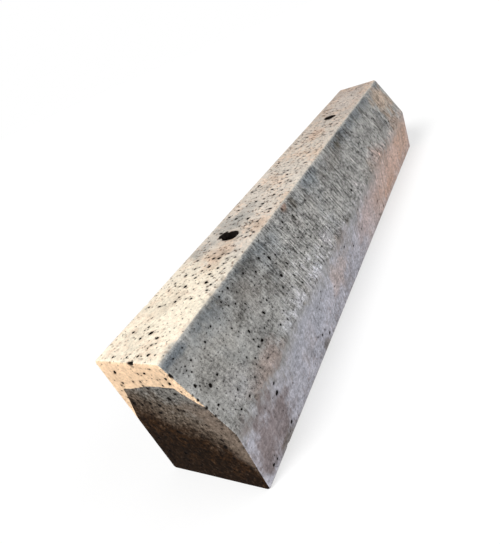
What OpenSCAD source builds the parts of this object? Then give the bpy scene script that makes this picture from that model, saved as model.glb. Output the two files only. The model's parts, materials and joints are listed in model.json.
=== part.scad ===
// Precast concrete kerb stone: a bevelled section cast in one piece,
// with two upright pin holes through the top.
// Millimetres. X runs along the stone, the bevelled front faces -Y, +Z is up.
// The origin is at the middle of the base.

/* [Stone] */
// Length from end to end
kerb_length = 1000; // [600:10:1500]
// Width across the base, front to back
base_width = 150; // [130:1:220]
// Height from the base to the flat top
kerb_height = 200; // [160:1:300]

/* [Bevel] */
// Width of the flat top, from the back face to the bevel
top_width = 100; // [70:1:125]
// Height that the bevel takes from the top of the front face
bevel_drop = 100; // [60:1:140]

/* [Arrises] */
// Radius between the flat top and the bevel
top_arris_r = 8; // [5:0.5:20]
// Radius between the bevel and the upright front face
bevel_arris_r = 20; // [5:1:40]
// Radius between the flat top and the back face
back_arris_r = 5; // [5:0.5:15]
// Radius along both edges of the base
base_arris_r = 5; // [5:0.5:15]
// Width of the worn 45 degree edge around both end faces
end_arris = 3; // [1:0.25:4.5]

/* [Pin holes] */
// Diameter of each hole
hole_d = 25; // [15:0.5:35]
// Distance of each hole from its end of the stone
hole_from_end = 250; // [60:5:250]
// Distance of both holes from the back face
hole_from_back = 50; // [25:1:60]

/* [Hidden] */

concrete = [0.62, 0.60, 0.57];
fine = 96;
// Cutting tools reach this far past the surface that they cut
overcut = 20;

// The section as [y, z] corners before rounding, counter-clockwise seen from the +X end,
// each with the radius of its arris
corners = [
    [[base_width / 2, 0], base_arris_r],
    [[base_width / 2, kerb_height], back_arris_r],
    [[base_width / 2 - top_width, kerb_height], top_arris_r],
    [[-base_width / 2, kerb_height - bevel_drop], bevel_arris_r],
    [[-base_width / 2, 0], base_arris_r]
];
sides = len(corners);

hole_x = kerb_length / 2 - hole_from_end;
hole_y = base_width / 2 - hole_from_back;

function point(i) = corners[(i + sides) % sides][0];
function radius(i) = corners[i][1];
function unit(v) = v / norm(v);
// Direction of the side that runs from corner i to the next one
function along(i) = unit(point(i + 1) - point(i));
// Outward normal of that side
function outward(i) = [along(i)[1], -along(i)[0]];

// Half of the angle between the two sides that meet at corner i
function half_angle(i) = acos(along(i) * -along(i - 1)) / 2;
// Where the arris leaves the side before corner i and the side after it
function tangent_before(i) = point(i) - along(i - 1) * radius(i) / tan(half_angle(i));
function tangent_after(i) = point(i) + along(i) * radius(i) / tan(half_angle(i));
function arris_centre(i) = tangent_after(i) - outward(i) * radius(i);

// What lies between a sharp corner and its arris, with the worn edge at both ends
module arris_waste(i) {
    worn = min(end_arris, radius(i));
    straight = kerb_length / 2 - end_arris;
    // A point in the air beyond the corner, as far from both of its sides as the overcut
    outside = point(i) + unit(point(i) - arris_centre(i)) * overcut / sin(half_angle(i));

    difference() {
        translate([0, 0, -kerb_length / 2 - overcut])
            linear_extrude(kerb_length + 2 * overcut)
                polygon([
                    arris_centre(i),
                    tangent_before(i),
                    tangent_before(i) + outward(i - 1) * overcut,
                    outside,
                    tangent_after(i) + outward(i) * overcut,
                    tangent_after(i)
                ]);
        translate(arris_centre(i)) {
            cylinder(r = radius(i), h = 2 * straight, center = true, $fn = fine);
            for (end = [0, 1])
                mirror([0, 0, end])
                    translate([0, 0, straight])
                        cylinder(r1 = radius(i), r2 = radius(i) - worn, h = worn, $fn = fine);
        }
    }
}

// The wedge worn off the end of the side that runs from corner i to the next one
module end_waste(i) {
    side = norm(point(i + 1) - point(i));

    translate([point(i)[0], point(i)[1], kerb_length / 2])
        rotate([0, 0, atan2(outward(i)[1], outward(i)[0])])
            translate([0, side + overcut, 0])
                rotate([90, 0, 0])
                    linear_extrude(side + 2 * overcut)
                        polygon([
                            [overcut, -end_arris - overcut],
                            [overcut, overcut],
                            [-end_arris - overcut, overcut]
                        ]);
}

// The casting before its holes are made, lying along X
module casting() {
    rotate([90, 0, 90])
        difference() {
            linear_extrude(kerb_length, center = true)
                polygon([for (c = corners) c[0]]);
            for (i = [0 : sides - 1]) {
                arris_waste(i);
                for (end = [0, 1])
                    mirror([0, 0, end])
                        end_waste(i);
            }
        }
}

// One upright hole, cut right through the stone
module pin_hole(x) {
    translate([x, hole_y, -overcut])
        cylinder(d = hole_d, h = kerb_height + 2 * overcut, $fn = fine);
}

module kerb_stone() {
    color(concrete)
        difference() {
            casting();
            for (x = [-hole_x, hole_x])
                pin_hole(x);
        }
}

kerb_stone();
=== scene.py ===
import json
import math
from types import SimpleNamespace

import bmesh
import bpy
import numpy as np
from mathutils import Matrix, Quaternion, Vector, noise
from mathutils.geometry import delaunay_2d_cdt


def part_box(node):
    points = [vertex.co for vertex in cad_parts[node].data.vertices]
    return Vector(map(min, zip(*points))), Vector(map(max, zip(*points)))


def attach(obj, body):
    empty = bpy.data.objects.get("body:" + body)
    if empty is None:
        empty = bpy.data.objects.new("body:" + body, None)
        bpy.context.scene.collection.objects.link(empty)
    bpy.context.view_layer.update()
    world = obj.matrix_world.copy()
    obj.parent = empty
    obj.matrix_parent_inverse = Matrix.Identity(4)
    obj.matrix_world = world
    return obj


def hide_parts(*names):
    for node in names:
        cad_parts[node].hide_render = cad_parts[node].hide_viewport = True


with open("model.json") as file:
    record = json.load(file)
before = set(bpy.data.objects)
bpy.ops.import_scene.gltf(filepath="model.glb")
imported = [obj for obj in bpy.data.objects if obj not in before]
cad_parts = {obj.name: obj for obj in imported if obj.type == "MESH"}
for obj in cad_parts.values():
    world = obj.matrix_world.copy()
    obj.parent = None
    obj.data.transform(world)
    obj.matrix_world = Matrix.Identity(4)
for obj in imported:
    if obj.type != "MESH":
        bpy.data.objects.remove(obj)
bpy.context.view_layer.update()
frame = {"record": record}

mm = 0.001

# The stone: its section, how fine its mesh is and how uneven its faces are
stone = dict(
    seed=58,
    topWidth=100 * mm,
    bevelDrop=100 * mm,
    topArris=8 * mm,
    bevelArris=20 * mm,
    backArris=5 * mm,
    baseArris=5 * mm,
    endArris=3 * mm,
    shownGrid=5 * mm,  # mesh spacing on the faces that show
    hiddenGrid=8 * mm,  # and on the back and the base
    arrisGrid=2 * mm,  # across an arris
    alongArris=3 * mm,  # along an arris
    fewestRows=3,  # of mesh on a face or an arris
    endGrid=2.5 * mm,  # round the rim of both end faces
    endZone=12 * mm,  # how far in from an end the finer mesh goes
    endRows=(9 * mm, 5.5 * mm, 2.5 * mm),  # its rows before the worn edge of the end
    endTurns=(0, 30, 60, 90),  # and over that edge, in degrees
    stray=0.3,  # how far a mesh point strays, as a share of the spacing
    voidGap=0.35,  # how far it stays off a void, as a share of the spacing
    endVoidGap=0.6 * mm,  # the same in the finer mesh of the ends
    rimGap=0.6,  # how far it stays off the rim of an end, as a share of the spacing
    onLine=0.01 * mm,  # points this near a line are on it
    wave=0.5 * mm,  # slow unevenness from the mould
    waveSize=90 * mm,
    ripple=0.14 * mm,  # quick unevenness of the cement skin
    rippleSize=13 * mm,
    coreInset=15 * mm,  # depth of the core that every dent heads for
    arrisFade=3.5 * mm,  # how far the worn look of an arris reaches
    sharpAngle=38,  # edges are shaded sharp from here, in degrees
)
dice = np.random.default_rng(stone["seed"])

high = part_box("kerb_stone")[1]
halfLength, halfWidth, height = high.x, high.y, high.z
straightHalf = halfLength - stone["endArris"]
stripHalf = straightHalf + stone["endArris"] * math.pi / 2
bevelWidth = 2 * halfWidth - stone["topWidth"]

# Section corners as y, z, arris radius and the name of the face after the corner
corners = [
    (halfWidth, 0, stone["baseArris"], "back"),
    (halfWidth, height, stone["backArris"], "top"),
    (halfWidth - stone["topWidth"], height, stone["topArris"], "bevel"),
    (-halfWidth, height - stone["bevelDrop"], stone["bevelArris"], "front"),
    (-halfWidth, 0, stone["baseArris"], "base"),
]
shownFaces = ("top", "bevel", "front")


def unit(vector):
    return vector / np.linalg.norm(vector)


def facingOf(heading):
    return math.atan2(-heading[0], heading[1])  # angle of the outward normal of a side


def cloudAt(point, size, octaves):
    weaker, finer = 1.0, 2.0  # how each octave follows from the one before
    return noise.fractal(Vector(point) / size, weaker, finer, octaves)


# The section's edge as straight runs and arcs, measured from the middle of the base
class Outline:
    def __init__(self):
        self.runs, self.length = [], 0.0
        seam = np.zeros(2)
        points = [seam, *[np.array(corner[:2]) for corner in corners], seam]
        start, face = seam, "base"
        for before, here, after, corner in zip(points, points[1:], points[2:], corners):
            radius = corner[2]
            coming, going = unit(here - before), unit(after - here)
            turn = math.acos(coming @ going)
            cut = radius * math.tan(turn / 2)
            facing = facingOf(coming)
            self.add(face, start, facing, np.linalg.norm(here - coming * cut - start))
            outward = np.array([math.cos(facing), math.sin(facing)])
            self.add("arris", here - coming * cut - outward * radius, facing, radius * turn, radius)
            start, face = here + going * cut, corner[3]
        self.add(face, start, facingOf(unit(seam - start)), np.linalg.norm(seam - start))

    def add(self, face, origin, facing, length, radius=0.0):
        self.runs.append(dict(face=face, begin=self.length, length=length, origin=origin,
                              facing=facing, radius=radius))
        self.length += length

    # Places y, z and outward normals at distances along the edge
    def at(self, distance):
        place, normal = np.zeros((len(distance), 2)), np.zeros((len(distance), 2))
        for run in self.runs:
            here = (distance >= run["begin"]) & (distance <= run["begin"] + run["length"])
            gone = distance[here] - run["begin"]
            angle = run["facing"] + (gone / run["radius"] if run["radius"] else 0 * gone)
            normal[here] = np.stack([np.cos(angle), np.sin(angle)], 1)
            if run["radius"]:
                place[here] = run["origin"] + run["radius"] * normal[here]
            else:
                heading = np.array([-math.sin(run["facing"]), math.cos(run["facing"])])
                place[here] = run["origin"] + gone[:, None] * heading
        return place, normal

    # Distance along the edge of a place on a face
    def across(self, face, y, z):
        run = next(run for run in self.runs if run["face"] == face)
        return run["begin"] + np.hypot(run["origin"][0] - y, run["origin"][1] - z)


outline = Outline()


# Places and normals of the long faces, which are unrolled to a flat strip:
# its points are distances along the section's edge and along the stone
def unrolled(strip):
    place, normal = outline.at(strip[:, 0])
    along, side = np.abs(strip[:, 1]), np.sign(strip[:, 1])
    turn = np.maximum(along - straightHalf, 0) / stone["endArris"]
    x = side * (np.minimum(along, straightHalf) + stone["endArris"] * np.sin(turn))
    place = place - normal * (stone["endArris"] * (1 - np.cos(turn)))[:, None]
    normal = np.column_stack([side * np.sin(turn), normal * np.cos(turn)[:, None]])
    return np.column_stack([x, place]), normal


# Unit steps to the nearest point of the stone's core,
# so that dents near an edge head inwards and never cross
def inwardsFrom(points):
    inset = stone["coreInset"]
    edge = np.array([corner[:2] for corner in corners])
    heading = np.roll(edge, -1, 0) - edge
    outward = np.array([unit(np.array([way[1], -way[0]])) for way in heading])
    before = np.roll(outward, 1, 0)
    core = edge - inset * (outward + before) / (1 + (outward * before).sum(1))[:, None]
    nearest, gap = np.zeros((len(points), 2)), np.full(len(points), np.inf)
    for start, end in zip(core, np.roll(core, -1, 0)):
        way = end - start
        share = np.clip((points[:, 1:] - start) @ way / (way @ way), 0, 1)
        place = start + share[:, None] * way
        far = np.linalg.norm(points[:, 1:] - place, axis=1)
        nearest = np.where((far < gap)[:, None], place, nearest)
        gap = np.minimum(far, gap)
    x = np.clip(points[:, 0], inset - halfLength, halfLength - inset)
    step = np.column_stack([x, nearest]) - points
    return step / np.linalg.norm(step, axis=1)[:, None]


# A flat sheet of points, each with how deep it is sunk and how much dirt it holds
class Sheet:
    def __init__(self):
        self.points, self.depth, self.dirt = np.zeros((0, 2)), np.zeros(0), np.zeros(0)
        self.edges, self.cuts = [], []
        self.centres, self.reach = np.zeros((0, 2)), np.zeros(0)

    def add(self, points, depth=0.0, dirt=0.0, loop=False):
        first, count = len(self.points), len(points)
        self.points = np.vstack([self.points, points])
        self.depth = np.append(self.depth, np.zeros(count) + depth)
        self.dirt = np.append(self.dirt, np.zeros(count) + dirt)
        indices = list(range(first, first + count))
        if loop:
            self.edges += list(zip(indices, indices[1:] + indices[:1]))
        return indices

    # Keeps everything that is added later clear of a round place
    def reserve(self, centre, reach):
        self.centres = np.vstack([self.centres, centre])
        self.reach = np.append(self.reach, reach)

    def free(self, centre, reach):
        return np.all(np.hypot(*(self.centres - centre).T) > self.reach + reach)

    def addClear(self, points, gap):
        keep = np.ones(len(points), bool)
        for centre, reach in zip(self.centres, self.reach):
            keep &= np.hypot(*(points - centre).T) > reach + gap
        return self.add(points[keep])

    # Leaves out what lies inside a loop
    def cutOut(self, loop):
        across, along = self.points[loop].T
        area = (across * np.roll(along, -1) - np.roll(across, -1) * along).sum()
        self.cuts.append(loop if area > 0 else loop[::-1])

    # Triangles over the whole sheet, or only within its first loop
    def triangles(self, bounded=False):
        everywhere, withinLoops, sameSpot = 0, 1, 1e-7
        flat = [Vector(point) for point in self.points / mm]
        filled = withinLoops if bounded else everywhere
        made = delaunay_2d_cdt(flat, self.edges, self.cuts, filled, sameSpot)
        triangles, cameFrom, cutBy = made[2], made[3], made[5]
        return [[cameFrom[i][0] for i in face] for face, cut in zip(triangles, cutBy) if not cut]


# Air voids in the cast faces: how many to a square metre, and their usual width
pits = dict(
    top=dict(large=5400, largeWidth=3.6 * mm, small=9000, smallWidth=2.4 * mm),
    bevel=dict(large=1900, largeWidth=2.8 * mm, small=9000, smallWidth=2.0 * mm),
    front=dict(large=600, largeWidth=3.2 * mm, small=1700, smallWidth=1.9 * mm),
    back=dict(large=900, largeWidth=3.6 * mm, small=1300, smallWidth=2.0 * mm),
    base=dict(large=500, largeWidth=4.0 * mm, small=600, smallWidth=2.2 * mm),
    end=dict(large=2600, largeWidth=3.8 * mm, small=6000, smallWidth=2.2 * mm),
    # Rings of a void from its rim down: share of its radius, share of its depth, dirt
    large=dict(sides=10, rings=[(1.0, 0.0, 0.3), (0.84, 0.6, 1.0), (0.45, 0.95, 1.0)]),
    small=dict(sides=6, rings=[(1.0, 0.0, 0.25), (0.62, 0.8, 1.0)]),
    spread=0.36,  # how much the widths vary
    widest=6 * mm,
    oval=0.16,
    ragged=0.13,
    raggedest=(0.7, 1.25),
    deep=0.42,  # depth to width
    deepRange=(0.8, 1.3),
    room=0.75,  # free reach round a void's middle, as a share of its width
    gap=0.5 * mm,  # sound concrete between two voids
    endGap=1.5 * mm,  # and between a void and the rim of an end
    patchSize=70 * mm,  # size of the patches where voids crowd
    patchMiddle=0.45,
    patchSwing=0.7,
    sparsest=0.12,
    crowds=[  # where the photo shows them crowded or sparse: place and reach in mm, how much
        ((-20, 30, 200), 70, 0.4),
        ((170, 15, 200), 60, 0.4),
        ((-420, 25, 200), 80, -0.6),
        ((-200, -55, 140), 90, 0.6),
        ((-330, -40, 170), 50, 0.6),
        ((-500, -45, 140), 50, 0.6),
        ((-500, 40, 60), 60, 0.6),
    ],
    seenTop=[  # single voids that stand out in the photo: x, y and width in mm
        (-493, 48, 3.5), (-487, -2, 4.5), (-473, 5, 3), (-464, 30, 3.5), (-462, 5, 4.5), (-454, 50, 4),
        (-445, 32, 3.5), (-409, 62, 3), (-408, 44, 4), (-405, 37, 2.5), (-395, 2, 4), (-395, 10, 3),
        (-380, -13, 4), (-377, 52, 3), (-370, 29, 5.5), (-369, 39, 3.5), (-369, -12, 4), (-361, 52, 3),
        (-352, 24, 4), (-346, 4, 5), (-345, 45, 4.5), (-337, 22, 3.5), (-336, -14, 3), (-331, 38, 4),
        (-328, 16, 5.5), (-312, -4, 3), (-311, 47, 4.5), (-310, 10, 5.5), (-311, -17, 3.5), (-305, 31, 3.5),
        (-300, 0, 3.5), (-296, 26, 3.5), (-281, 2, 3), (-261, 58, 3), (193, 5, 8),
    ],
    seenFront=[  # the same near the foot of the front: x, z and width in mm
        (-255, 14, 5), (-276, 29, 4), (-290, 38, 3), (-265, 29, 3.5), (-418, 16, 5), (108, 12, 5),
    ],
    seenEnd=[  # the same on the near end: y, z and width in mm
        (51, 183, 5), (14, 184, 3), (31, 170, 3), (15, 161, 4), (58, 130, 5), (44, 131, 4), (14, 134, 5),
        (-47, 74, 7), (-48, 86, 5),
    ],
)


def sinkPit(sheet, centre, width, size="large"):
    form = pits[size]
    angle = np.arange(form["sides"]) * 2 * math.pi / form["sides"]
    stretch = 1 + abs(dice.normal(0, pits["oval"]))
    lean = dice.uniform(0, math.pi)
    wobble = np.clip(1 + dice.normal(0, pits["ragged"], form["sides"]), *pits["raggedest"])
    long = np.cos(angle) * stretch * wobble
    short = np.sin(angle) / stretch * wobble
    ring = np.stack([long * math.cos(lean) - short * math.sin(lean),
                     long * math.sin(lean) + short * math.cos(lean)], 1) * width / 2
    depth = width * pits["deep"] * dice.uniform(*pits["deepRange"])
    for share, down, dirt in form["rings"]:
        sheet.add(centre + ring * share, depth * down, dirt, loop=True)
    sheet.add([centre], depth, 1.0)
    sheet.reserve(centre, np.hypot(*ring.T).max())


# Scatters voids where sample() gives a place, how crowded it may be
# and its distance from the nearest edge
def scatterPits(sheet, area, kind, sample):
    for size in ("large", "small"):
        for _ in range(int(kind[size] * area)):
            width = kind[size + "Width"] * math.exp(dice.normal(0, pits["spread"]))
            width = min(width, pits["widest"])
            centre, crowding, margin = sample()
            roomy = dice.uniform() < crowding and margin > width
            if roomy and sheet.free(centre, width * pits["room"] + pits["gap"]):
                sinkPit(sheet, centre, width, size)


def crowdingAt(point):
    patch = pits["patchMiddle"] + pits["patchSwing"] * cloudAt(point, pits["patchSize"], octaves=2)
    for place, reach, share in pits["crowds"]:
        away = np.linalg.norm(np.array(place) * mm - point) / (reach * mm)
        patch += share * math.exp(-away ** 2)
    return min(1.0, max(pits["sparsest"], patch))


# The rims of the upright holes, broken a little where the former was drawn out
rims = dict(
    sides=40,
    rings=16,  # of each hole's wall
    ease=0.4 * mm,  # the wall stands back this far from a bar's clearance
    breakWidth=1.2 * mm,
    breakDepth=1.6 * mm,
    breakSize=7 * mm,
    breakSwing=1.1,
    breakRange=(0.25, 2.4),
    lobes=[((0.51, 0.86), 3.6), ((-0.06, 1.0), 5.0)],  # larger pieces off the nearer rim: way and width
    lobeTaper=40,
    dirt=0.25,  # at the outer edge of the break
    lobeDirt=0.3,
)


def cutHole(sheet, hole, face, level):
    angle = np.arange(rims["sides"]) * 2 * math.pi / rims["sides"]
    ring = np.stack([np.cos(angle), np.sin(angle)], 1)
    inner = hole["centre"] + ring * (hole["radius"] + rims["ease"])
    rough = np.array([cloudAt((*place, level), rims["breakSize"], octaves=3) for place in inner])
    rough = np.clip(1 + rims["breakSwing"] * rough, *rims["breakRange"])
    lobe = np.zeros(len(ring))
    if face == "top" and hole["centre"][0] < 0:
        for way, width in rims["lobes"]:
            lobe += width * np.clip(ring @ np.array(way), 0, 1) ** rims["lobeTaper"]
    rough += lobe
    outer = inner + ring * (rims["breakWidth"] * rough)[:, None]

    def onSheet(flat):
        return np.stack([outline.across(face, flat[:, 1], level), flat[:, 0]], 1)

    sheet.add(onSheet(outer), 0.0, np.clip(rims["dirt"] + rims["lobeDirt"] * lobe, 0, 1), loop=True)
    loop = sheet.add(onSheet(inner), rims["breakDepth"] * rough, 1.0, loop=True)
    sheet.cutOut(loop)
    reach = hole["radius"] + rims["ease"] + (rims["breakWidth"] * rough).max()
    sheet.reserve(onSheet(hole["centre"][None])[0], reach)
    return loop


holes = [dict(centre=np.array(mount["pos_m"][:2]), radius=mount["dims"]["r_mm"] * mm)
         for mount in frame["record"]["mounts"] if mount["kind"] == "bore"]

strip = Sheet()
topLoops = [cutHole(strip, hole, "top", height) for hole in holes]
baseLoops = [cutHole(strip, hole, "base", 0.0) for hole in holes]
for x, y, width in pits["seenTop"]:
    sinkPit(strip, np.array([outline.across("top", y * mm, height), x * mm]), width * mm)
for x, z, width in pits["seenFront"]:
    sinkPit(strip, np.array([outline.across("front", -halfWidth, z * mm), x * mm]), width * mm)


# A random place on one of the long faces, for a void
def placeOn(run):
    across, along = dice.uniform(0, run["length"]), dice.uniform(-straightHalf, straightHalf)
    centre = np.array([run["begin"] + across, along])
    margin = min(across, run["length"] - across, straightHalf - abs(along))
    return centre, crowdingAt(unrolled(centre[None])[0][0]), margin


for run in outline.runs:
    if run["face"] != "arris":
        area = run["length"] * 2 * straightHalf
        scatterPits(strip, area, pits[run["face"]], lambda run=run: placeOn(run))
print("voids in the long faces:", len(strip.centres) - len(topLoops + baseLoops))


# Rows of mesh points across the section's edge, closer over the arrises
def meshRows(spacing):
    rows = [(0.0, "seam")]
    for run in outline.runs:
        arris = run["face"] == "arris"
        step = stone["arrisGrid"] if arris else spacing(run["face"])
        count = max(stone["fewestRows"], round(run["length"] / step))
        shares = np.arange(count + 1) if arris else np.arange(count) + 0.5
        rows += [(run["begin"] + run["length"] * share / count, run["face"]) for share in shares]
    return rows + [(outline.length, "seam")]


def faceGrid(face):
    return stone["shownGrid"] if face in shownFaces else stone["hiddenGrid"]


innerHalf = straightHalf - stone["endZone"]
seamRow = None
for across, face in meshRows(faceGrid):
    step = stone["alongArris"] if face == "arris" else faceGrid(face)
    count = round(2 * innerHalf / step)
    loose = dice.uniform(-stone["stray"], stone["stray"], (count, 2)) * step
    if face in ("arris", "seam"):
        loose[:, 0] = 0
    even = (np.arange(count) + 0.5) * 2 * innerHalf / count - innerHalf
    row = np.stack([np.full(count, across), even], 1) + loose
    if face == "seam":
        seamRow = row[:, 1] if seamRow is None else seamRow  # both sides of the seam are alike
        row[:, 1] = seamRow
    strip.addClear(row, 0 if face == "seam" else stone["voidGap"] * step)

endTurns = straightHalf + stone["endArris"] * np.radians(stone["endTurns"])
endRows = np.append(straightHalf - np.array(stone["endRows"]), endTurns)
for side in (-1, 1):
    for row in endRows:
        line = [(across, side * row) for across, _ in meshRows(lambda face: stone["endGrid"])]
        strip.addClear(np.array(line), stone["endVoidGap"])

faces = strip.triangles()
print("long faces:", len(faces), "triangles")

places, normals = unrolled(strip.points)
depths, dirts = strip.depth, strip.dirt


# One end face within its rim, with its voids and the mesh between them
def endSheet(side, edge):
    heading = np.roll(edge, -1, 0) - edge
    outward = np.stack([heading[:, 1], -heading[:, 0]], 1) / np.linalg.norm(heading, axis=1)[:, None]
    cap = Sheet()
    cap.add(edge, loop=True)
    if side < 0:
        for y, z, width in pits["seenEnd"]:
            sinkPit(cap, np.array([y, z]) * mm, width * mm)

    def marginOf(flat):
        return np.min(((edge - flat) * outward).sum(1))

    def placeOnEnd():
        flat = np.array([dice.uniform(-halfWidth, halfWidth), dice.uniform(0, height)])
        crowding = crowdingAt(np.array([side * halfLength, *flat]))
        return flat, crowding, marginOf(flat) - pits["endGap"]

    scatterPits(cap, 2 * halfWidth * height, pits["end"], placeOnEnd)
    step = stone["shownGrid"]
    grid = np.array([(y, z) for y in np.arange(-halfWidth, halfWidth, step)
                     for z in np.arange(0, height, step)])
    grid = grid + dice.uniform(-stone["stray"], stone["stray"], grid.shape) * step
    inside = [marginOf(flat) > stone["rimGap"] * step for flat in grid]
    cap.addClear(grid[inside], stone["voidGap"] * step)
    return cap


# The two ends, each filled in between the rim points that the long faces leave
for side in (-1, 1):
    rim = np.flatnonzero(np.abs(strip.points[:, 1] - side * stripHalf) < stone["onLine"])
    rim = rim[np.argsort(strip.points[rim, 0])][:-1]  # the last is the seam again
    cap = endSheet(side, places[rim, 1:])
    made = cap.triangles(bounded=True)
    index = np.append(rim, np.arange(len(places), len(places) + len(cap.points) - len(rim)))
    faces += [index[face].tolist() for face in made]
    added = cap.points[len(rim):]
    places = np.vstack([places, np.column_stack([np.full(len(added), side * halfLength), added])])
    normals = np.vstack([normals, np.tile([side, 0.0, 0.0], (len(added), 1))])
    depths = np.append(depths, cap.depth[len(rim):])
    dirts = np.append(dirts, cap.dirt[len(rim):])
    print("end face:", len(made), "triangles")


# How far unevenness of one size sinks each point, from nothing to its full depth
def unevenBy(depth, size):
    cloud = np.array([cloudAt(place, size, octaves=2) for place in places])
    return depth * np.clip(1 + cloud, 0, 2) / 2


for depth, size in (("wave", "waveSize"), ("ripple", "rippleSize")):
    depths = depths + unevenBy(stone[depth], stone[size])
inwards = inwardsFrom(places)
places = places + inwards * depths[:, None]

# Chips off the arrises, each scooped out as a rough ball
chips = dict(
    perMetre=8,
    reach=(4 * mm, 11 * mm),
    depth=(0.4 * mm, 1.7 * mm),
    roughSize=6 * mm,
    roughness=0.22,
    search=1.5,  # points are looked for this far out, as a share of the reach
    bareFrom=0.6,  # broken concrete shows in full from this share of the depth
    seen=[  # place in mm, reach, depth and dirt of those that the photo shows
        ((-384, -24, 200), 10, 3.0, 0),
        ((-370, -24, 200), 11, 3.5, 0),
        ((-356, -23, 200), 9, 3.5, 0),
        ((-312, -24, 200), 8, 3.0, 0),
        ((-500, 16, 200), 6, 4.0, 1),
        ((-500, -33, 184), 5, 3.5, 1),
        ((-500, -46, 157), 4, 2.5, 1),
        ((-500, -50, 150), 4, 2.5, 1),
        ((-500, -55, 139), 4.5, 3.0, 1),
        ((-500, -61, 128), 4, 3.0, 1),
        ((500, 75, 200), 18, 6.0, 0),
        ((17, -24, 200), 8, 2.5, 0),
    ],
)
chipped = np.zeros(len(places))


def chipOff(place, reach, depth, dirt=0.0):
    centre = np.array(place) - inwardsFrom(np.array([place]))[0] * (reach - depth)
    near = np.flatnonzero(np.linalg.norm(places - centre, axis=1) < reach * chips["search"])
    rough = np.array([cloudAt(places[i], chips["roughSize"], octaves=3) for i in near])
    ball = reach * (1 + chips["roughness"] * rough)
    away = places[near] - centre
    lean = (away * inwards[near]).sum(1)
    left = ball ** 2 - (away ** 2).sum(1)
    inside = left > 0
    near, lean, left = near[inside], lean[inside], left[inside]
    push = np.sqrt(lean ** 2 + left) - lean
    places[near] += inwards[near] * push[:, None]
    bared = np.clip(push / (chips["bareFrom"] * depth), 0, 1)
    chipped[near] = np.maximum(chipped[near], bared)
    dirts[near] = np.maximum(dirts[near], bared * dirt)


# A random chip at a place on the unrolled strip
def chipAt(across, along):
    place = unrolled(np.array([[across, along]]))[0][0]
    chipOff(place, dice.uniform(*chips["reach"]), dice.uniform(*chips["depth"]))


for place, reach, depth, dirt in chips["seen"]:
    chipOff(np.array(place) * mm, reach * mm, depth * mm, dirt)
for run in outline.runs:
    if run["face"] == "arris":
        for _ in range(int(chips["perMetre"] * 2 * halfLength)):
            chipAt(run["begin"] + run["length"] / 2, dice.uniform(-straightHalf, straightHalf))
for side in (-1, 1):
    for _ in range(int(chips["perMetre"] * outline.length)):
        chipAt(dice.uniform(0, outline.length), side * (straightHalf + stripHalf) / 2)
print("chipped points:", int((chipped > 0).sum()))

# The walls of the holes, ring by ring from the top rim to the base rim
for topLoop, baseLoop in zip(topLoops, baseLoops):
    upper = topLoop
    for ring in range(1, rims["rings"] + 1):
        share = ring / rims["rings"]
        lower = baseLoop
        if ring < rims["rings"]:
            lower = list(range(len(places), len(places) + len(topLoop)))
            places = np.vstack([places, places[topLoop] * (1 - share) + places[baseLoop] * share])
        faces += [[upper[k - 1], lower[k - 1], lower[k], upper[k]] for k in range(len(upper))]
        upper = lower
wallCount = len(places) - len(normals)
normals = np.vstack([normals, np.zeros((wallCount, 3))])
dirts = np.append(dirts, np.ones(wallCount))
chipped = np.append(chipped, np.zeros(wallCount))

# The seam's two rows become one: their points agree along the stone to a thousandth of a millimetre
along = np.round(strip.points[:, 1] / mm, 3)
first = {along[i]: i for i in np.flatnonzero(strip.points[:, 0] == 0)}
joined = np.arange(len(places))
for i in np.flatnonzero(strip.points[:, 0] == outline.length):
    joined[i] = first[along[i]]
kept, number = np.unique(joined, return_inverse=True)

mesh = bpy.data.meshes.new("kerb_stone_cast")
mesh.from_pydata(places[kept].tolist(), [], [number[face].tolist() for face in faces])
shell = bmesh.new()
shell.from_mesh(mesh)
bmesh.ops.recalc_face_normals(shell, faces=shell.faces)
print("open edges:", sum(len(edge.link_faces) != 2 for edge in shell.edges),
      "triangles:", sum(len(face.verts) - 2 for face in shell.faces))
shell.to_mesh(mesh)
shell.free()
mesh.shade_smooth()
mesh.set_sharp_from_angle(angle=math.radians(stone["sharpAngle"]))

# Which face a point counts as, by how squarely it faces that way: the way, not yet, wholly
faceMarks = dict(
    onTop=[((0, 0, 1), 0.70, 0.97)],
    onBevel=[((0, -stone["bevelDrop"], bevelWidth), 0.85, 0.98)],
    onFront=[((0, -1, 0), 0.35, 0.75)],
    onBack=[((0, 1, 0), 0.70, 0.97), ((0, 0, -1), 0.70, 0.97)],
    onEnd=[((-1, 0, 0), 0.45, 0.9), ((1, 0, 0), 0.45, 0.9)],
)
# Normals of the long faces alone, which the colours of those faces follow over the end rims
longNormals = np.zeros((len(places), 3))
longNormals[:len(strip.points), 1:] = outline.at(strip.points[:, 0])[1]


def facing(way, least, most):
    ways = normals if way[0] else longNormals
    share = np.clip((ways @ unit(np.array(way)) - least) / (most - least), 0, 1)
    return share * share * (3 - 2 * share)


# Hands the paint a value for each point
def mark(name, values):
    layer = mesh.attributes.new(name, "FLOAT", "POINT")
    layer.data.foreach_set("value", values[kept].astype(np.float32))


for name, ways in faceMarks.items():
    mark(name, sum(facing(*way) for way in ways))
mark("dirt", dirts)
mark("chipped", chipped)
arrisMiddles = np.array([run["begin"] + run["length"] / 2 for run in outline.runs
                         if 0 < run["radius"] < stone["bevelArris"]])
fromArris = np.full(len(places), halfLength)  # far from any, on the ends and in the holes
fromArris[:len(strip.points)] = np.abs(strip.points[:, :1] - arrisMiddles).min(1)
mark("arris", np.exp(-(fromArris / stone["arrisFade"]) ** 2))

kerb = bpy.data.objects.new("kerb_stone_cast", mesh)
bpy.context.scene.collection.objects.link(kerb)
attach(kerb, "root")
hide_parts("kerb_stone")


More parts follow.
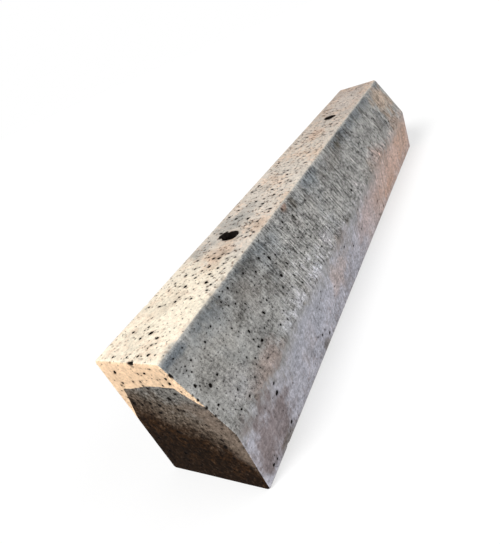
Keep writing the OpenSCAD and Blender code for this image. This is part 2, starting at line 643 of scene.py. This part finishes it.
# A socket of a node tree, so that shader maths reads as Python
class Wire:
    def __init__(self, socket, recipe):
        self.socket, self.recipe = socket, recipe

    def maths(self, operation, first, second):
        return self.recipe.add("ShaderNodeMath", dict(operation=operation), {0: first, 1: second})

    def __add__(self, other):
        return self.maths("ADD", self, other)

    def __radd__(self, other):
        return self.maths("ADD", other, self)

    def __sub__(self, other):
        return self.maths("SUBTRACT", self, other)

    def __rsub__(self, other):
        return self.maths("SUBTRACT", other, self)

    def __mul__(self, other):
        return self.maths("MULTIPLY", self, other)

    def __rmul__(self, other):
        return self.maths("MULTIPLY", other, self)

    def atLeast(self, other):
        return self.maths("MAXIMUM", self, other)


# A node tree that is built up a node at a time
class Recipe:
    def __init__(self, owner):
        owner.use_nodes = True
        self.tree = owner.node_tree
        self.tree.nodes.clear()

    def add(self, kind, settings, sockets, out=0):
        node = self.tree.nodes.new(kind)
        for name, value in settings.items():
            setattr(node, name, value)
        for name, value in sockets.items():
            if isinstance(value, Wire):
                self.tree.links.new(value.socket, node.inputs[name])
            else:
                node.inputs[name].default_value = value
        if out is None:
            return [Wire(socket, self) for socket in node.outputs]
        return Wire(node.outputs[out], self) if len(node.outputs) else None

    def attribute(self, name):
        return self.add("ShaderNodeAttribute", dict(attribute_name=name), {}, "Fac")

    def vectors(self, operation, first, second):
        return self.add("ShaderNodeVectorMath", dict(operation=operation), {0: first, 1: second})

    def cloud(self, where, size, detail, rough, shift):
        moved = self.vectors("ADD", where, (shift, shift, shift))
        return self.add("ShaderNodeTexNoise", {}, {"Vector": moved, "Scale": 1 / size, "Detail": detail,
                                                   "Roughness": rough})

    # Distance from the middle of the nearest cell, and a grey of that cell's own
    def cells(self, where, size):
        return self.add("ShaderNodeTexVoronoi", {}, {"Vector": where, "Scale": 1 / size}, None)[:2]

    def ramp(self, value, start, end):
        return self.add("ShaderNodeMapRange", dict(interpolation_type="SMOOTHSTEP"),
                        {0: value, 1: start, 2: end, 3: 0.0, 4: 1.0})

    def blend(self, share, first, second, mode="MIX"):
        return self.add("ShaderNodeMix", dict(data_type="RGBA", blend_type=mode),
                        {0: share, 6: first, 7: second}, 2)


# A colour as it is read off a screen, from 0 to 255
def tint(red, green, blue):
    def linear(value):
        value /= 255
        return value / 12.92 if value <= 0.04045 else ((value + 0.055) / 1.055) ** 2.4

    return linear(red), linear(green), linear(blue), 1.0


# Colours of the concrete as they look in white light, with painted sunlight and shade in some, as marked
concrete = dict(
    plain=tint(178, 173, 165),
    # the top: paler near, partly painted sunlight, and greyer far, partly painted shade
    topNear=tint(255, 243, 221),
    topMiddle=tint(214, 204, 192),
    topFar=tint(178, 166, 157),
    topBlush=tint(234, 202, 176),
    bevel=tint(179, 178, 175),
    front=tint(200, 199, 209),
    frontFar=tint(212, 190, 182),
    wornArris=tint(222, 213, 199),
    dirt=tint(26, 22, 20),
    broken=tint(150, 142, 132),
    warm=tint(158, 134, 112),
    cool=tint(140, 147, 153),
    # painted shade with a painted sky reflection under the top arris
    shadeBlue=tint(112, 119, 124),
    speck=tint(112, 84, 66),
    # painted sunlight along the edges of the near end
    endSunlit=tint(250, 216, 180),
    # painted cast shadow on the near end, grey and warmer
    endShadowGrey=tint(122, 119, 114),
    endShadowWarm=tint(106, 95, 84),
    # painted sky light in a band beside the bevel on the near end
    endSkyLitBand=tint(125, 111, 99),
    # painted cast shadow on the near end, dark brown, darker still low down
    endShadow=tint(50, 33, 19),
    endDeepShadow=tint(32, 21, 13),
)
# Patterns in the concrete: size, detail, roughness, and a shift that keeps them apart
patterns = dict(
    broad=(110 * mm, 3, 0.5, 0.0),
    hue=(66 * mm, 3, 0.55, 3.1),
    blotch=(26 * mm, 3, 0.55, 7.7),
    mottle=(9 * mm, 3, 0.6, 5.2),
    grain=(4.5 * mm, 4, 0.8, 1.3),
    strokes=(2.2 * mm, 3, 0.6, 4.4),
)
strokeLength = 10  # of the strokes down the bevel, as a multiple of their width


# A value made uneven by patterns, each with its own weight
def uneven(value, at, weights):
    for name, weight in weights.items():
        value = value + (getattr(at, name) - 0.5) * weight
    return value


# A sum of masks or patterns, each by its own share
def weighed(at, shares):
    return sum(getattr(at, name) * share for name, share in shares.items())


# What the paint can ask of a point: its place, its face and the patterns there
def readSurface(paint):
    where = paint.add("ShaderNodeTexCoord", {}, {}, "Object")
    x, y, z = paint.add("ShaderNodeSeparateXYZ", {}, {0: where}, None)
    at = SimpleNamespace(where=where, x=x, y=y, z=z, everywhere=1.0)
    for name in (*faceMarks, "dirt", "chipped", "arris"):
        setattr(at, name, paint.attribute(name))
    drawn = paint.vectors("MULTIPLY", where, (1, 1 / strokeLength, 1 / strokeLength))
    for name, pattern in patterns.items():
        setattr(at, name, paint.cloud(drawn if name == "strokes" else where, *pattern))
    return at


# The long faces: where one colour gives way to the next, in metres or as levels of a pattern
longPaint = dict(
    wander=dict(broad=0.25, blotch=0.14),  # makes the changes along the stone ragged
    topPale=(-0.42, -0.27),
    topGrey=(0.0, 0.45),
    blushUneven=dict(mottle=0.9),
    blushFrom=(0.44, 0.72),
    blush=0.5,
    topEdgeUneven=dict(blotch=0.3),
    topEdge=(0.4, 0.6),
    frontUneven=dict(blotch=0.1, broad=0.1, mottle=0.06, strokes=0.06),
    frontEdge=(-0.03, 0.06),  # below the foot of the bevel
    frontFar=(-0.1, 0.25),
    bloomFrom=(0.52, 0.66),
    rosyFrom=(0.48, 0.32),
    frontMarks=0.25,
    shadeUneven=dict(blotch=0.03),
    shadeFrom=(0.166, 0.192),  # up the bevel to its top arris
    shade=0.35,
    shadePatches=0.4,
    shadePatchesFrom=(0.56, 0.44),
    brushedFrom=(-0.42, -0.2),  # the strokes start along here
)


# The top pales towards the near end, partly its cement skin and partly painted sunlight, and greys farther
# off, partly painted shade; it has a blush in patches
def topColour(paint, at):
    pastNear = paint.ramp(at.wander, *longPaint["topPale"])
    colour = paint.blend(pastNear, concrete["topNear"], concrete["topMiddle"])
    colour = paint.blend(paint.ramp(at.wander, *longPaint["topGrey"]), colour, concrete["topFar"])
    blush = paint.ramp(uneven(at.hue, at, longPaint["blushUneven"]), *longPaint["blushFrom"])
    return paint.blend(blush * longPaint["blush"], colour, concrete["topBlush"])


# The bevel is grey with painted shade, blue from a painted sky reflection, under its top arris, the front
# below it lilac to pink
def longColour(paint, at):
    at.wander = uneven(at.x, at, longPaint["wander"])
    at.brushed = at.onBevel * paint.ramp(at.x, *longPaint["brushedFrom"])
    below = uneven(height - stone["bevelDrop"] - at.z, at, longPaint["frontUneven"])
    at.lower = paint.ramp(below, *longPaint["frontEdge"]) * at.onFront
    colour = paint.blend(at.onBack, concrete["bevel"], concrete["plain"])
    far = paint.ramp(at.wander, *longPaint["frontFar"])
    front = paint.blend(far, concrete["front"], concrete["frontFar"])
    colour = paint.blend(at.lower, colour, front)
    for level, name in (("bloomFrom", "bloom"), ("rosyFrom", "rosy")):
        marks = at.lower * paint.ramp(at.mottle, *longPaint[level]) * longPaint["frontMarks"]
        colour = paint.blend(marks, colour, stainAndPaintedLightColours[name])
    # painted shade with a painted sky reflection, blue, under the top arris
    shade = paint.ramp(uneven(at.z, at, longPaint["shadeUneven"]), *longPaint["shadeFrom"]) * at.onBevel
    patches = paint.ramp(at.hue, *longPaint["shadePatchesFrom"]) * longPaint["shadePatches"]
    colour = paint.blend(shade * (longPaint["shade"] + patches), colour, concrete["shadeBlue"])
    topEdge = paint.ramp(uneven(at.onTop, at, longPaint["topEdgeUneven"]), *longPaint["topEdge"])
    return paint.blend(topEdge, colour, topColour(paint, at))


stainAndPaintedLightColours = dict(
    apricot=tint(226, 186, 156),
    ash=tint(128, 118, 108),
    bloom=tint(222, 219, 225),
    cement=tint(190, 187, 181),
    chalk=tint(236, 220, 218),
    clay=tint(204, 172, 156),
    # partly painted sunlight
    creamAndSunlight=concrete["topNear"],
    damp=tint(112, 107, 100),
    dust=tint(230, 192, 172),
    grey=tint(174, 171, 165),
    lilac=tint(206, 207, 219),
    mauve=tint(150, 136, 135),
    moss=tint(110, 100, 82),
    paleGrey=tint(206, 196, 187),
    peach=tint(216, 188, 164),
    pink=tint(212, 188, 182),
    rosy=tint(186, 160, 148),
    rust=tint(168, 112, 76),
    sandy=tint(236, 198, 174),
    slate=tint(128, 126, 123),
    # painted shade with a painted sky reflection
    arrisShade=tint(112, 122, 131),
    straw=tint(222, 197, 174),
)
# Stains that the photo shows, with painted light and shade among them as marked: place in mm, reach along
# and across the stone in mm, colour, strength
stainsAndPaintedLight = [
    ((-285, -75, 60), (110, 42), "lilac", 0.7),
    ((-455, -75, 50), (70, 55), "mauve", 0.85),
    ((-405, -73, 106), (52, 20), "rosy", 0.55),
    ((-169, -75, 45), (60, 30), "rosy", 0.3),
    ((-111, -77, 92), (60, 20), "rosy", 0.3),
    ((120, -75, 40), (80, 38), "rosy", 0.4),
    ((300, -75, 45), (220, 55), "dust", 0.45),
    ((430, -75, 60), (110, 80), "sandy", 0.5),
    ((221, -75, 22), (60, 24), "dust", 0.5),
    ((190, -71, 106), (75, 28), "clay", 0.5),
    ((20, -75, 55), (95, 36), "pink", 0.45),
    ((-163, -75, 60), (60, 34), "chalk", 0.55),
    ((-104, -46, 157), (45, 34), "damp", 0.2),
    ((144, -75, 80), (7, 12), "damp", 0.8),
    ((-271, -75, 6), (20, 12), "ash", 0.65),
    ((-435, -75, 6), (24, 12), "ash", 0.65),
    ((112, -75, 5), (26, 11), "ash", 0.6),
    ((435, -44, 163), (75, 60), "straw", 0.7),
    ((350, -55, 140), (60, 32), "slate", 0.55),
    ((131, -70, 109), (60, 26), "grey", 0.4),
    ((60, -36, 178), (110, 24), "damp", 0.45),
    ((-146, -32, 186), (15, 13), "damp", 0.75),
    ((-169, -28, 194), (14, 8), "rust", 0.45),
    ((99, -32, 185), (28, 15), "moss", 0.6),
    ((-141, -67, 117), (26, 15), "bloom", 0.5),
    ((-218, -75, 100), (32, 13), "bloom", 0.4),
    ((-453, -62, 127), (32, 24), "bloom", 0.4),
    ((-445, -50, 150), (75, 50), "cement", 0.6),
    ((-335, -38, 176), (56, 28), "damp", 0.4),
    ((-283, -50, 150), (50, 30), "damp", 0.4),
    # painted shade with a painted sky reflection along the top arris by the near end
    ((-478, -27, 196), (48, 11), "arrisShade", 0.75),
    # paler cream on the top by the near end, partly painted sunlight
    ((-405, 22, 200), (75, 42), "creamAndSunlight", 0.8),
    ((-294, 20, 200), (42, 34), "peach", 0.75),
    # painted shade in patches on the top, towards its back by the nearer hole
    ((-275, 55, 200), (50, 22), "grey", 0.7),
    ((-215, 50, 200), (44, 28), "grey", 0.8),
    ((-186, 34, 200), (46, 30), "grey", 0.7),
    ((362, 24, 200), (110, 50), "paleGrey", 0.6),
    ((155, 22, 200), (42, 26), "apricot", 0.45),
]
patchEdge = dict(uneven=dict(blotch=2.2, strokes=0.6), fade=(1.0, 0.3))


def withStainsAndPaintedLight(paint, at, colour):
    ragged = uneven(0.0, at, patchEdge["uneven"])
    for place, (reachAlong, reachAcross), name, strength in stainsAndPaintedLight:
        scale = (1 / (reachAlong * mm), 1 / (reachAcross * mm), 1 / (reachAcross * mm))
        away = paint.vectors("SUBTRACT", at.where, tuple(np.array(place) * mm))
        away = paint.vectors("MULTIPLY", away, scale)
        away = paint.add("ShaderNodeVectorMath", dict(operation="LENGTH"), {0: away}, "Value")
        patch = paint.ramp(away + ragged, *patchEdge["fade"])
        colour = paint.blend(patch * strength, colour, stainAndPaintedLightColours[name])
    return colour


# Warm and cool patches, by levels of the pattern, and the worn arrises
weathering = dict(
    warmFrom=(0.55, 0.75),
    warm=dict(everywhere=0.3, onBevel=-0.2),
    coolFrom=(0.48, 0.25),
    cool=dict(everywhere=0.12, onBevel=0.3),
    arris=0.35,
)


def weathered(paint, at, colour):
    for name in ("warm", "cool"):
        patch = paint.ramp(at.hue, *weathering[name + "From"]) * weighed(at, weathering[name])
        colour = paint.blend(patch, colour, concrete[name])
    return paint.blend(at.arris * weathering["arris"], colour, concrete["wornArris"])


# The near end has painted sunlight along its top, back and bevelled edges, and painted cast shadow below
nearEnd = dict(
    level=166 * mm,  # foot of the painted sunlight under the top edge
    dip=10 * mm,  # how much lower that is at the back
    dipFrom=(-5 * mm, 62 * mm),
    sunlitUneven=dict(blotch=5 * mm),
    line=(-1 * mm, 1 * mm),  # the painted sunlight ends sharply
    backWidth=18 * mm,
    backFoot=80 * mm,
    frontWidth=15 * mm,
    frontFoot=134 * mm,
    joint=(0.4, 0.6),  # a mark gives way sharply about its half
    shadowTop=102 * mm,  # middle height of the edge of the dark painted shadow
    shadowSlope=0.48,  # which climbs towards the back
    shadowUneven=dict(blotch=0.07, grain=0.06),
    shadowFrom=(35 * mm, -25 * mm),
    deeperUneven=dict(mottle=0.2),
    deeperFrom=(0, -60 * mm),
    warmFrom=(55 * mm, 20 * mm),
    lighterGrainsFrom=(0.55, 0.7),
    lighterGrains=0.18,
    bandUneven=dict(blotch=0.04),  # painted sky light in a lighter band beside the bevel
    bandFrom=(42 * mm, 20 * mm),
    bandTop=(155 * mm, 130 * mm),
    band=0.9,
    bandSmooth=0.6,
    farSide=(-0.1, 0.1),  # the far end is plain
)


# Where the painted sunlight is, and the distance from the bevelled edge
def endSunlitMask(paint, at):
    foot = nearEnd["level"] - paint.ramp(at.y, *nearEnd["dipFrom"]) * nearEnd["dip"]
    upper = paint.ramp(uneven(at.z - foot, at, nearEnd["sunlitUneven"]), *nearEnd["line"])
    backWidth = paint.ramp(at.z, nearEnd["backFoot"], nearEnd["level"]) * nearEnd["backWidth"]
    back = paint.ramp(backWidth + at.y - halfWidth, *nearEnd["line"])
    fromBevel = (height - at.z) * (bevelWidth / stone["bevelDrop"]) + at.y - (halfWidth - stone["topWidth"])
    frontWidth = paint.ramp(at.z, nearEnd["frontFoot"], nearEnd["level"]) * nearEnd["frontWidth"]
    front = paint.ramp(frontWidth - fromBevel, *nearEnd["line"])
    return paint.ramp(upper + back + front, *nearEnd["joint"]), fromBevel


def endColour(paint, at):
    at.skin, fromBevel = endSunlitMask(paint, at)
    # below the painted sunlight the near end has painted cast shadow: grey, warmer lower, then dark brown,
    # with lighter grains in it
    shadowLine = uneven(at.z - at.y * nearEnd["shadowSlope"] - nearEnd["shadowTop"], at, nearEnd["shadowUneven"])
    deeper = paint.ramp(uneven(shadowLine, at, nearEnd["deeperUneven"]), *nearEnd["deeperFrom"])
    endShadow = paint.blend(deeper, concrete["endShadow"], concrete["endDeepShadow"])
    shaded = paint.blend(paint.ramp(shadowLine, *nearEnd["warmFrom"]), concrete["endShadowGrey"], concrete["endShadowWarm"])
    lighterGrains = paint.ramp(at.grain, *nearEnd["lighterGrainsFrom"]) * nearEnd["lighterGrains"]
    colour = paint.blend(paint.ramp(shadowLine, *nearEnd["shadowFrom"]) * (1 - lighterGrains), shaded, endShadow)
    # painted sky light in a band beside the bevel
    band = paint.ramp(uneven(fromBevel, at, nearEnd["bandUneven"]), *nearEnd["bandFrom"])
    band = band * paint.ramp(at.z, *nearEnd["bandTop"])
    colour = paint.blend(band * nearEnd["band"], colour, concrete["endSkyLitBand"])
    # painted sunlight along the top, back and bevelled edges of the near end
    colour = paint.blend(at.skin, colour, concrete["endSunlit"])
    far = paint.ramp(at.x, *nearEnd["farSide"])
    at.rough = at.onEnd * (1 - at.skin) * (1 - band * nearEnd["bandSmooth"]) * (1 - far)
    return paint.blend(far, colour, concrete["plain"])


# How much each pattern lightens and darkens each face
lightAndDark = dict(
    blotch=dict(everywhere=0.4, onBevel=0.8, onBack=0.5),
    broad=dict(everywhere=0.4, onBevel=0.4, onBack=0.6),
    mottle=dict(everywhere=0.3, lower=0.3, rough=1.6),
    grain=dict(everywhere=1.2, onBevel=1.4, brushed=1.2, lower=0.6, rough=4.0),
    sandGrey=dict(everywhere=0.12, onBevel=0.3, brushed=0.3, rough=0.5),
    strokes=dict(onBevel=1.0, brushed=2.6),
)
darkest = 0.15

# Grains of sand, pinholes and rusty specks: their size, how far each reaches from its middle
# as a share of that size, and by its own grey which of them show
grit = dict(
    sand=1.8 * mm,
    sandReach=(0.5, 0.3),
    sandShown=(0.6, 0.64),
    sandDark=dict(everywhere=0.1, onTop=0.12, farTop=0.25, onBevel=0.4, brushed=0.25, rough=0.4),
    farTop=(-0.1, 0.2),
    pinhole=5.4 * mm,
    pinholeReach=(0.22, 0.12),
    pinholeShown=(0.48, 0.52),
    pinholeDark=0.8,
    speck=6.48 * mm,
    speckUneven=dict(grain=0.5),
    speckReach=(0.34, 0.2),
    speckShown=(0.44, 0.48),
    speckDark=dict(everywhere=0.06, onTop=0.35, pastNear=0.35, onSunlit=0.16),
    pastNear=(-0.42, -0.34),
    broken=0.5,
    dirtUneven=dict(grain=0.6),
    dirtFrom=(0.1, 0.6),
)


def gritty(paint, at, colour):
    dark = paint.ramp(at.sandFar, *grit["sandReach"]) * paint.ramp(at.sandGrey, *grit["sandShown"])
    at.farTop = at.onTop * paint.ramp(at.x, *grit["farTop"])
    colour = paint.blend(dark * weighed(at, grit["sandDark"]), colour, concrete["dirt"])
    away, grey = paint.cells(at.where, grit["pinhole"])
    at.pinhole = paint.ramp(away, *grit["pinholeReach"]) * paint.ramp(grey, *grit["pinholeShown"])
    colour = paint.blend(at.pinhole * grit["pinholeDark"], colour, concrete["dirt"])
    away, grey = paint.cells(at.where, grit["speck"])
    speck = paint.ramp(uneven(away, at, grit["speckUneven"]), *grit["speckReach"])
    speck = speck * paint.ramp(grey, *grit["speckShown"])
    at.pastNear = at.onTop * paint.ramp(at.wander, *grit["pastNear"])
    # the part of the near end under painted sunlight
    at.onSunlit = at.onEnd * at.skin
    return paint.blend(speck * weighed(at, grit["speckDark"]), colour, concrete["speck"])


# Bare concrete in the chips, and the dirt that fills the voids
def chippedAndDirty(paint, at, colour):
    colour = paint.blend(at.chipped * grit["broken"], colour, concrete["broken"])
    dirty = paint.ramp(uneven(at.dirt, at, grit["dirtUneven"]), *grit["dirtFrom"])
    return paint.blend(dirty, colour, concrete["dirt"])


finish = dict(
    roughness=0.85,
    roughUneven=dict(grain=0.4),
    specular=0.03,
    lumps=dict(grain=0.5, strokes=0.3, pinhole=-0.8),
    bump=0.6,
    bumpHeight=0.8 * mm,
)


def paintConcrete():
    material = bpy.data.materials.new("castConcrete")
    paint = Recipe(material)
    at = readSurface(paint)
    at.sandFar, at.sandGrey = paint.cells(at.where, grit["sand"])
    colour = weathered(paint, at, withStainsAndPaintedLight(paint, at, longColour(paint, at)))
    colour = paint.blend(paint.ramp(at.onEnd, *nearEnd["joint"]), colour, endColour(paint, at))
    weights = {name: weighed(at, shares) for name, shares in lightAndDark.items()}
    shade = uneven(1.0, at, weights).atLeast(darkest)
    colour = paint.blend(1.0, colour, shade, "MULTIPLY")
    colour = chippedAndDirty(paint, at, gritty(paint, at, colour))
    bump = paint.add("ShaderNodeBump", {}, {
        "Strength": finish["bump"], "Distance": finish["bumpHeight"],
        "Height": weighed(at, finish["lumps"])})
    shader = paint.add("ShaderNodeBsdfPrincipled", {}, {
        "Base Color": colour, "Roughness": uneven(finish["roughness"], at, finish["roughUneven"]),
        "Specular IOR Level": finish["specular"], "Normal": bump})
    paint.add("ShaderNodeOutputMaterial", {}, {"Surface": shader})
    return material


mesh.materials.append(paintConcrete())
print("concrete painted with", len(stainsAndPaintedLight), "stainsAndPaintedLight")

# Camera at the photograph's place
view = dict(
    place=(-0.7073, -0.3519, 0.4433),
    aim=(-0.2808, -0.0313, 0.1689),
    roll=-24.09,
    lens=28.99,
    shiftX=-0.0221,
    shiftY=-0.0184,
    nearest=0.01,
)
camera = bpy.data.objects.new("camera", bpy.data.cameras.new("camera"))
bpy.context.scene.collection.objects.link(camera)
bpy.context.scene.camera = camera
level = (Vector(view["aim"]) - Vector(view["place"])).to_track_quat("-Z", "Y")
camera.location = view["place"]
camera.rotation_mode = "QUATERNION"
camera.rotation_quaternion = level @ Quaternion((0, 0, 1), math.radians(view["roll"]))
camera.data.lens = view["lens"]
camera.data.shift_x, camera.data.shift_y = view["shiftX"], view["shiftY"]
camera.data.clip_start = view["nearest"]

# A plain floor, white to the eye, under soft light
studio = dict(
    floorHalf=30,
    floorColour=(0.4, 0.4, 0.4, 1),
    floorGlow=0.62,
    skyColour=(1, 1, 1, 1),
    skyLight=0.3,  # on the stone
    skyShown=1.0,  # to the eye
    suns=dict(  # where each comes from, its strength and its spread in degrees
        key=((-0.70, 0.22, 0.68), 0.9, 25),
        fill=((0.45, -0.8, 0.4), 0.36, 60),
    ),
)


# How much of a ray comes from the camera, or from it by way of a mirror or glass
def seenRays(recipe):
    path = recipe.add("ShaderNodeLightPath", {}, {}, None)
    rays = {wire.socket.name: wire for wire in path}
    seen = rays["Is Camera Ray"] + rays["Is Glossy Ray"] + rays["Is Transmission Ray"]
    return recipe.ramp(seen, 0.0, 1.0)


half = studio["floorHalf"]
floorMesh = bpy.data.meshes.new("floor")
floorCorners = [(-half, -half, 0), (half, -half, 0), (half, half, 0), (-half, half, 0)]
floorMesh.from_pydata(floorCorners, [], [(0, 1, 2, 3)])
floor = bpy.data.objects.new("floor", floorMesh)
bpy.context.scene.collection.objects.link(floor)
floorMaterial = bpy.data.materials.new("paleFloor")
recipe = Recipe(floorMaterial)
matt = recipe.add("ShaderNodeBsdfDiffuse", {}, {"Color": studio["floorColour"]})
glow = recipe.add("ShaderNodeEmission", {}, {"Strength": studio["floorGlow"]})
bright = recipe.add("ShaderNodeAddShader", {}, {0: matt, 1: glow})
surface = recipe.add("ShaderNodeMixShader", {}, {0: seenRays(recipe), 1: matt, 2: bright})
recipe.add("ShaderNodeOutputMaterial", {}, {"Surface": surface})
floorMesh.materials.append(floorMaterial)

world = bpy.data.worlds.new("studio")
bpy.context.scene.world = world
recipe = Recipe(world)
dim, white = [recipe.add("ShaderNodeBackground", {}, {"Color": studio["skyColour"], "Strength": strength})
              for strength in (studio["skyLight"], studio["skyShown"])]
sky = recipe.add("ShaderNodeMixShader", {}, {0: seenRays(recipe), 1: dim, 2: white})
recipe.add("ShaderNodeOutputWorld", {}, {"Surface": sky})


def addSun(name, comesFrom, strength, spread):
    lamp = bpy.data.objects.new(name, bpy.data.lights.new(name, "SUN"))
    bpy.context.scene.collection.objects.link(lamp)
    lamp.rotation_euler = (-Vector(comesFrom)).to_track_quat("-Z", "Y").to_euler()
    lamp.data.energy = strength * math.pi
    lamp.data.angle = math.radians(spread)


for name, sun in studio["suns"].items():
    addSun(name, *sun)
bpy.context.scene.view_settings.view_transform = "Standard"
print("camera, floor and light set")
